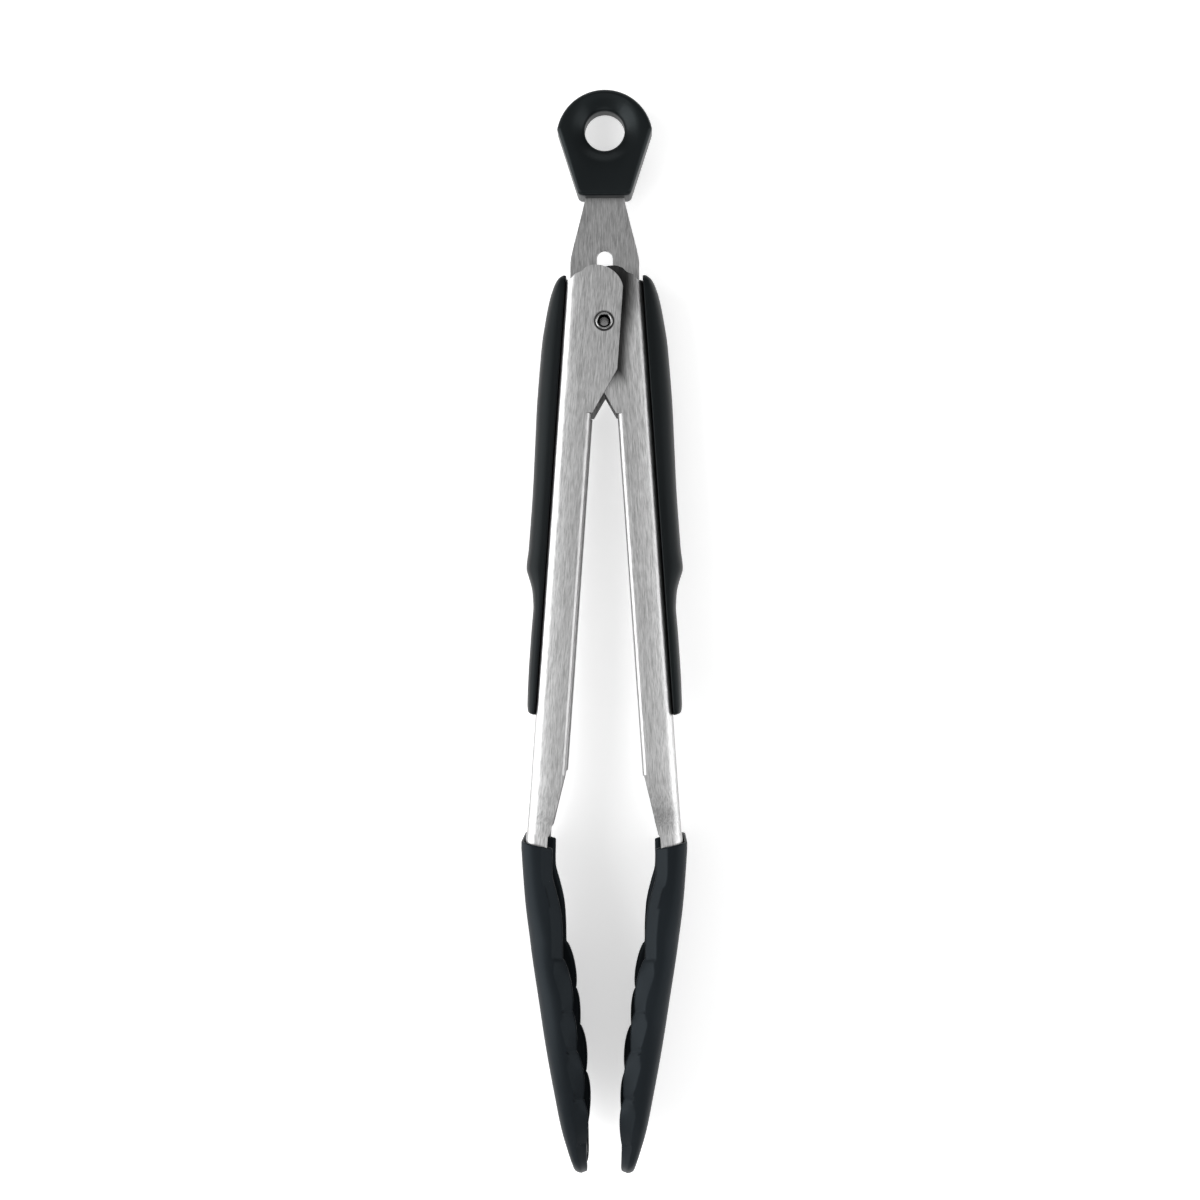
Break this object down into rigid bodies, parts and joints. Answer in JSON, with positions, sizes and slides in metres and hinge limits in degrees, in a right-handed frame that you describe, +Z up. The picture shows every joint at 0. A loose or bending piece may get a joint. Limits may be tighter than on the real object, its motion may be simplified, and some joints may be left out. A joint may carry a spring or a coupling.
{
  "type": "locking kitchen tongs",
  "caption": "Spring-loaded locking kitchen tongs with brushed steel channel arms, soft grips, scalloped silicone heads and a pull tab with a hanging hole.",
  "frame": {"origin": "on the table, below the middle of the box around the tongs in the locked pose", "axes": "+Y along the length from the heads to the pull tab, +X from the left arm to the right arm, +Z up, away from the table and nearly along the pivot"},
  "size_m": [0.0412, 0.2711, 0.029],
  "materials": {
    "arm_steel": "brushed along the arm",
    "plate_steel": "brushed along the plate",
    "rivet_steel": "bright, turned",
    "spring_steel": "bright drawn wire",
    "grip_rubber": "soft matte",
    "head_silicone": "soft matte",
    "tab_plastic": "soft matte"
  },
  "bodies": {
    "pivot": {"pivot_rivet": "rivet_steel", "torsion_spring": "spring_steel"},
    "left_arm_body": {"left_arm": "arm_steel", "left_grip": "grip_rubber", "left_head": "head_silicone"},
    "right_arm_body": {"right_arm": "arm_steel", "right_grip": "grip_rubber", "right_head": "head_silicone"},
    "lock_tab": {"lock_plate": "plate_steel", "pull_tab": "tab_plastic"}
  },
  "joints": [
    {"name": "left_arm_pivot", "type": "hinge", "parent": "pivot", "child": "left_arm_body", "pos_m": [0, 0.0768, 0.00847], "axis": [0, -0.034, -0.9994], "range_deg": [-0.85, 14], "stiffness_Nm_per_rad": 0.15, "springref_deg": 68.75, "deforming": ["torsion_spring"]},
    {"name": "right_arm_pivot", "type": "hinge", "parent": "pivot", "child": "right_arm_body", "pos_m": [0, 0.0768, 0.00847], "axis": [0, 0.034, 0.9994], "range_deg": [-0.85, 14]},
    {"name": "tab_slide", "type": "slide", "parent": "pivot", "child": "lock_tab", "axis": [0, -0.9994, 0.034], "range_m": [-0.0011, 0.0169]}
  ],
  "couplings": [
    {"joint": "right_arm_pivot", "follows": "left_arm_pivot", "ratio": 1},
    {"joint": "tab_slide", "follows": "left_arm_pivot", "m_per_rad": 0.068755}
  ]
}
